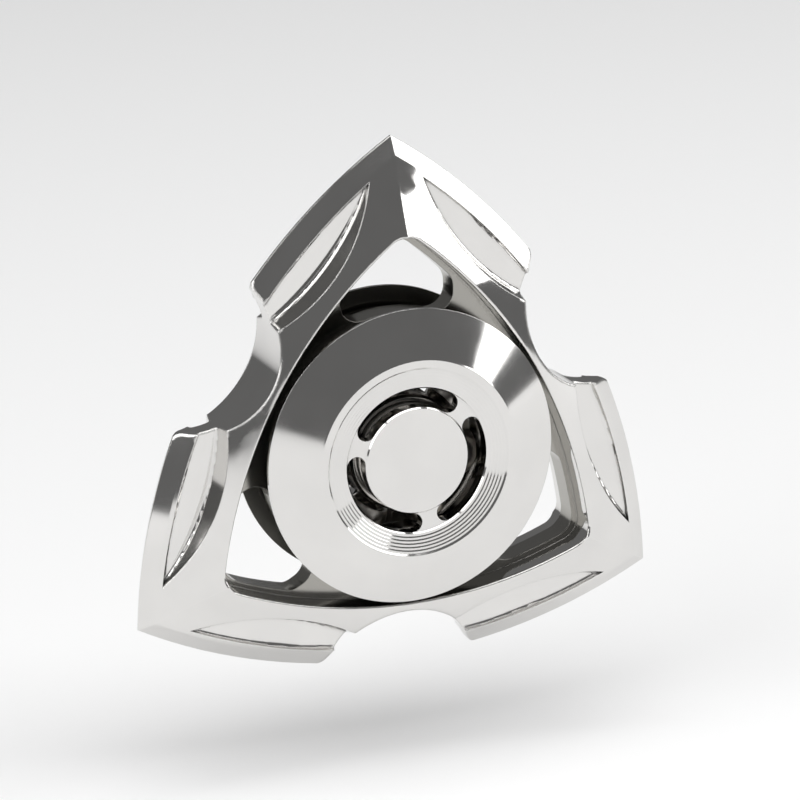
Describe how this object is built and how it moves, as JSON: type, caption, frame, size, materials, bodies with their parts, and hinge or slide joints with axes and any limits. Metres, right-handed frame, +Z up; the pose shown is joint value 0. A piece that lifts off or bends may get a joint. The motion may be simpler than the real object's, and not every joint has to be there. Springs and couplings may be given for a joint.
{
  "type": "fidget spinner",
  "caption": "Three-pointed polished metal fidget spinner with scalloped sides, leaf-shaped scoops and dished finger buttons on a ball bearing.",
  "frame": {"origin": "on the spin axis, halfway between the two finger buttons", "axes": "+Z up through one point of the body; +Y along the spin axis, from the front button to the rear button; +X to the right seen from the front"},
  "size_m": [0.0554, 0.0138, 0.0543],
  "materials": {
    "polished_steel": "mirror polished",
    "turned_steel": "turned and polished",
    "bearing_steel": "ground and polished",
    "cage_steel": "pressed sheet, dull",
    "spring_steel": "dark oiled steel"
  },
  "bodies": {
    "hub": {"front_button": "turned_steel", "rear_button": "turned_steel", "front_spacer": "spring_steel", "rear_spacer": "spring_steel", "axle_sleeve": "spring_steel", "axle_stud": "spring_steel", "bearing_inner_race": "bearing_steel"},
    "spinner": {"spinner_frame": "polished_steel", "bearing_outer_race": "bearing_steel", "retaining_ring": "spring_steel"},
    "ball_cage": {"cage_front": "cage_steel", "cage_rear": "cage_steel", "cage_rivets": "cage_steel"},
    "rolling_ball_1": {"ball_1": "bearing_steel"},
    "rolling_ball_2": {"ball_2": "bearing_steel"},
    "rolling_ball_3": {"ball_3": "bearing_steel"},
    "rolling_ball_4": {"ball_4": "bearing_steel"},
    "rolling_ball_5": {"ball_5": "bearing_steel"},
    "rolling_ball_6": {"ball_6": "bearing_steel"},
    "rolling_ball_7": {"ball_7": "bearing_steel"}
  },
  "joints": [
    {"name": "body_spin", "type": "hinge", "parent": "hub", "child": "spinner", "pos_m": [0, 0, 0], "axis": [0, 1, 0], "continuous": true},
    {"name": "cage_orbit", "type": "hinge", "parent": "hub", "child": "ball_cage", "pos_m": [0, 0, 0], "axis": [0, 1, 0], "continuous": true},
    {"name": "ball_1_spin", "type": "hinge", "parent": "ball_cage", "child": "rolling_ball_1", "pos_m": [0, 0, 0.0075], "axis": [0, 1, 0], "continuous": true},
    {"name": "ball_2_spin", "type": "hinge", "parent": "ball_cage", "child": "rolling_ball_2", "pos_m": [-0.00586, 0, 0.00468], "axis": [0, 1, 0], "continuous": true},
    {"name": "ball_3_spin", "type": "hinge", "parent": "ball_cage", "child": "rolling_ball_3", "pos_m": [-0.00731, 0, -0.00167], "axis": [0, 1, 0], "continuous": true},
    {"name": "ball_4_spin", "type": "hinge", "parent": "ball_cage", "child": "rolling_ball_4", "pos_m": [-0.00325, 0, -0.00676], "axis": [0, 1, 0], "continuous": true},
    {"name": "ball_5_spin", "type": "hinge", "parent": "ball_cage", "child": "rolling_ball_5", "pos_m": [0.00325, 0, -0.00676], "axis": [0, 1, 0], "continuous": true},
    {"name": "ball_6_spin", "type": "hinge", "parent": "ball_cage", "child": "rolling_ball_6", "pos_m": [0.00731, 0, -0.00167], "axis": [0, 1, 0], "continuous": true},
    {"name": "ball_7_spin", "type": "hinge", "parent": "ball_cage", "child": "rolling_ball_7", "pos_m": [0.00586, 0, 0.00468], "axis": [0, 1, 0], "continuous": true}
  ],
  "couplings": [
    {"joint": "cage_orbit", "follows": "body_spin", "ratio": 0.6323},
    {"joint": "ball_1_spin", "follows": "body_spin", "ratio": 1.7573},
    {"joint": "ball_2_spin", "follows": "body_spin", "ratio": 1.7573},
    {"joint": "ball_3_spin", "follows": "body_spin", "ratio": 1.7573},
    {"joint": "ball_4_spin", "follows": "body_spin", "ratio": 1.7573},
    {"joint": "ball_5_spin", "follows": "body_spin", "ratio": 1.7573},
    {"joint": "ball_6_spin", "follows": "body_spin", "ratio": 1.7573},
    {"joint": "ball_7_spin", "follows": "body_spin", "ratio": 1.7573}
  ]
}
